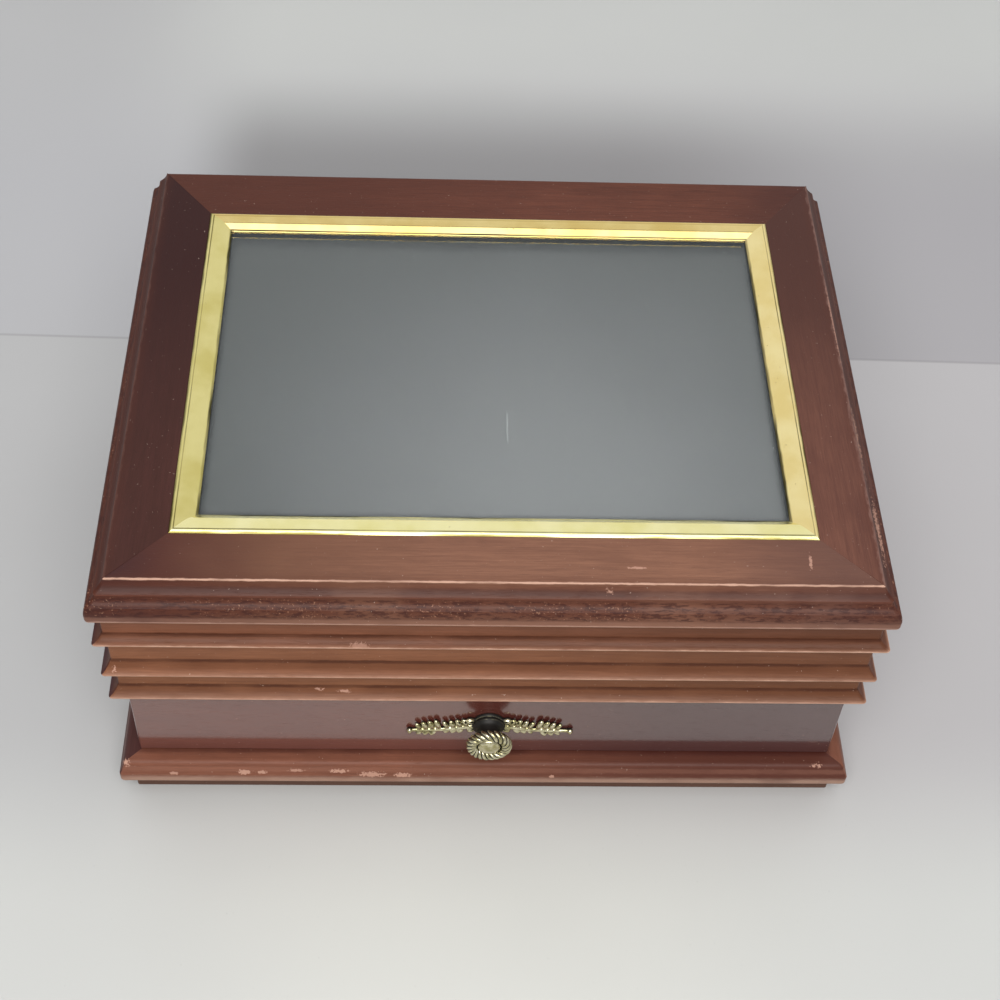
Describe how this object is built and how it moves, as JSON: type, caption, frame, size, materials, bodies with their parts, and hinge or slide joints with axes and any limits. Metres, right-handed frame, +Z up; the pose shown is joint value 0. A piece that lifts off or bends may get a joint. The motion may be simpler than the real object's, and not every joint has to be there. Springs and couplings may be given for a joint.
{
  "type": "jewelry box",
  "caption": "Wooden jewelry box with stacked mouldings, a hinged lid that frames a photo behind glass in a brass surround, a lined compartment with ring rolls and a full-width drawer.",
  "frame": {"origin": "centre of the carcass in plan, on the plane that the box stands on", "axes": "+X to the right as seen from the drawer side, +Y to the back, +Z up"},
  "size_m": [0.2306, 0.1856, 0.1071],
  "materials": {
    "mahogany_moulding": "satin stained",
    "mahogany_board": "satin lacquered",
    "dark_board": "matt painted",
    "drawer_wood": "stained",
    "hardboard": "matt",
    "polished_brass": "polished",
    "antique_brass": "antiqued",
    "hardware_brass": "plated",
    "screw_steel": "plated",
    "window_glass": "clear",
    "grey_paper": "matt",
    "velvet_roll": "velvet",
    "velvet_lining": "velvet"
  },
  "bodies": {
    "case": {"back_board": "mahogany_board", "base_moulding_front": "mahogany_moulding", "base_moulding_left": "mahogany_moulding", "base_moulding_right": "mahogany_moulding", "bottom_board": "dark_board", "compartment_floor_pad": "velvet_lining", "compartment_shelf": "hardboard", "divider_cross": "velvet_lining", "divider_rings": "velvet_lining", "front_board": "mahogany_board", "hinge_leaf_case_left": "hardware_brass", "hinge_leaf_case_right": "hardware_brass", "hinge_pins": "hardware_brass", "hinge_screws_case": "hardware_brass", "lining_end_walls": "velvet_lining", "lining_long_walls": "velvet_lining", "lower_moulding_front": "mahogany_moulding", "lower_moulding_left": "mahogany_moulding", "lower_moulding_right": "mahogany_moulding", "middle_moulding_front": "mahogany_moulding", "middle_moulding_left": "mahogany_moulding", "middle_moulding_right": "mahogany_moulding", "ring_roll_1": "velvet_roll", "ring_roll_2": "velvet_roll", "ring_roll_3": "velvet_roll", "ring_roll_4": "velvet_roll", "side_board_left": "mahogany_board", "side_board_right": "mahogany_board", "top_moulding_front": "mahogany_moulding", "top_moulding_left": "mahogany_moulding", "top_moulding_right": "mahogany_moulding"},
    "lid": {"backing_board": "hardboard", "brass_strip_back": "polished_brass", "brass_strip_front": "polished_brass", "brass_strip_left": "polished_brass", "brass_strip_right": "polished_brass", "hinge_leaf_lid_left": "hardware_brass", "hinge_leaf_lid_right": "hardware_brass", "hinge_screws_lid": "hardware_brass", "lid_padded_panel": "velvet_lining", "lid_rail_back": "mahogany_moulding", "lid_rail_front": "mahogany_moulding", "lid_rail_left": "mahogany_moulding", "lid_rail_right": "mahogany_moulding", "photo_insert": "grey_paper", "turn_button_screws": "hardware_brass", "window_glass": "window_glass"},
    "drawer": {"drawer_back": "drawer_wood", "drawer_bottom": "hardboard", "drawer_front": "mahogany_board", "drawer_pad": "velvet_lining", "drawer_side_left": "drawer_wood", "drawer_side_right": "drawer_wood", "pull_knob": "antique_brass", "pull_leaf_plate": "antique_brass", "pull_screw": "screw_steel"},
    "turn_button_front": {"turn_button_front": "hardware_brass"},
    "turn_button_right": {"turn_button_right": "hardware_brass"},
    "turn_button_back": {"turn_button_back": "hardware_brass"},
    "turn_button_left": {"turn_button_left": "hardware_brass"}
  },
  "joints": [
    {"name": "lid_hinge", "type": "hinge", "parent": "case", "child": "lid", "pos_m": [0, 0.0877, 0.09275], "axis": [-1, 0, 0], "range_deg": [0, 100]},
    {"name": "drawer_slide", "type": "slide", "parent": "case", "child": "drawer", "axis": [0, -1, 0], "range_m": [0, 0.115]},
    {"name": "turn_button_front_turn", "type": "hinge", "parent": "lid", "child": "turn_button_front", "pos_m": [0, -0.0708, 0.09225], "axis": [0, 0, 1], "range_deg": [-90, 90]},
    {"name": "turn_button_right_turn", "type": "hinge", "parent": "lid", "child": "turn_button_right", "pos_m": [0.0944, -0.0018, 0.09225], "axis": [0, 0, 1], "range_deg": [-90, 90]},
    {"name": "turn_button_back_turn", "type": "hinge", "parent": "lid", "child": "turn_button_back", "pos_m": [0, 0.0672, 0.09225], "axis": [0, 0, 1], "range_deg": [-90, 90]},
    {"name": "turn_button_left_turn", "type": "hinge", "parent": "lid", "child": "turn_button_left", "pos_m": [-0.0944, -0.0018, 0.09225], "axis": [0, 0, 1], "range_deg": [-90, 90]}
  ]
}
